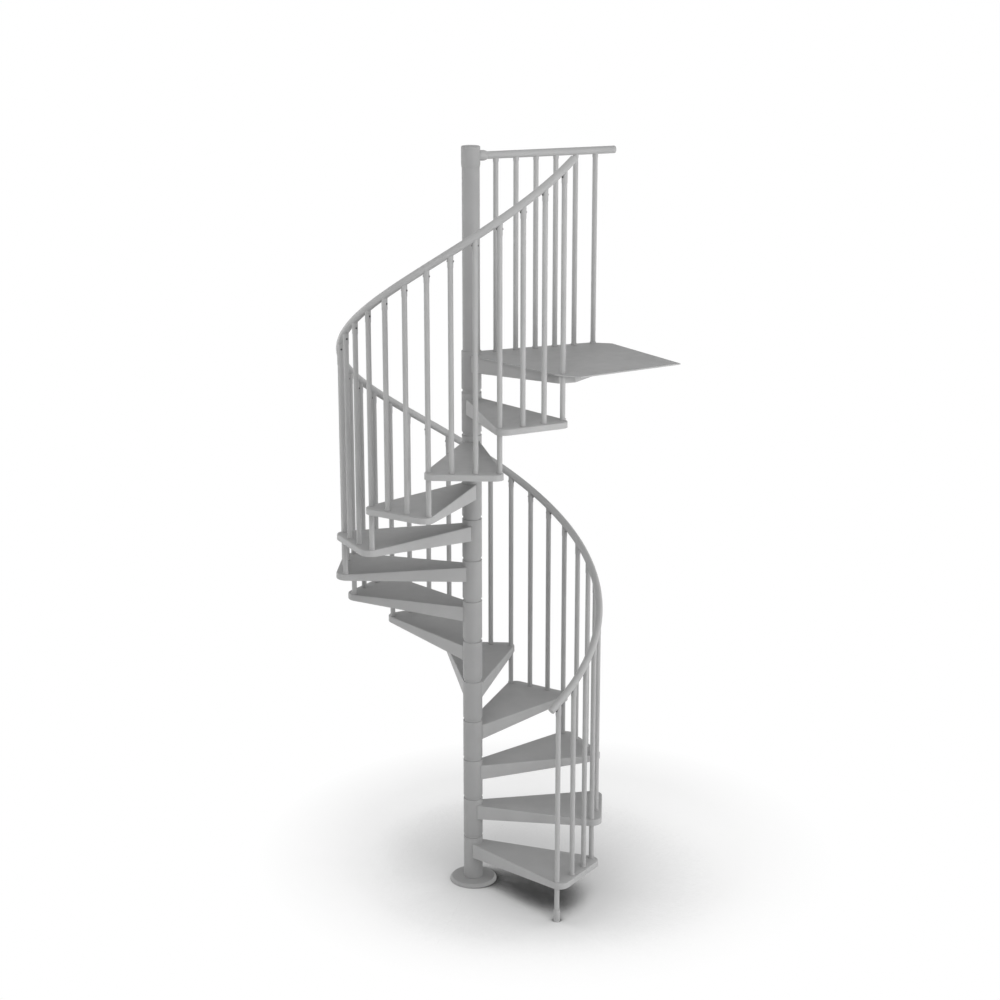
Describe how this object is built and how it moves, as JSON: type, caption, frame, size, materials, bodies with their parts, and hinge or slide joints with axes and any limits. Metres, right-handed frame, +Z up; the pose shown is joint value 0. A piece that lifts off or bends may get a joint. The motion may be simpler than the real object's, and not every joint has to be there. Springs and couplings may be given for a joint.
{
  "type": "spiral staircase",
  "caption": "Steel spiral staircase with folded wedge treads round a column, a helical handrail on round balusters and a square corner landing with its own guard.",
  "frame": {"origin": "centre of the base flange's underside, on the column axis at floor level", "axes": "+Z up along the column; the landing's two outer edges face +X and -Y; the climb turns counter-clockwise seen from above"},
  "size_m": [1.4804, 1.4493, 3.931],
  "materials": {
    "column": "light grey powder coat, satin, with a fine orange-peel surface",
    "treads": "light grey powder coat, satin, with a fine orange-peel surface",
    "guard": "light grey powder coat, satin, with a fine orange-peel surface"
  },
  "bodies": {
    "root": {"base_flange": "column", "center_pole": "column", "hub_sleeves": "column", "rise_spacers": "column", "tread_01": "treads", "tread_02": "treads", "tread_03": "treads", "tread_04": "treads", "tread_05": "treads", "tread_06": "treads", "tread_07": "treads", "tread_08": "treads", "tread_09": "treads", "tread_10": "treads", "tread_11": "treads", "tread_12": "treads", "landing_hub": "column", "landing_support": "treads", "landing_plate": "treads", "balusters_01": "guard", "balusters_02": "guard", "balusters_03": "guard", "balusters_04": "guard", "balusters_05": "guard", "balusters_06": "guard", "balusters_07": "guard", "balusters_08": "guard", "balusters_09": "guard", "balusters_10": "guard", "balusters_11": "guard", "balusters_12": "guard", "end_baluster": "guard", "baluster_foot": "guard", "baluster_collars": "guard", "rail_ferrules": "guard", "handrail_1": "guard", "handrail_2": "guard", "handrail_3": "guard", "handrail_4": "guard", "landing_balusters": "guard", "landing_rail": "guard", "rail_socket": "guard", "newel_cap": "column"}
  },
  "joints": []
}
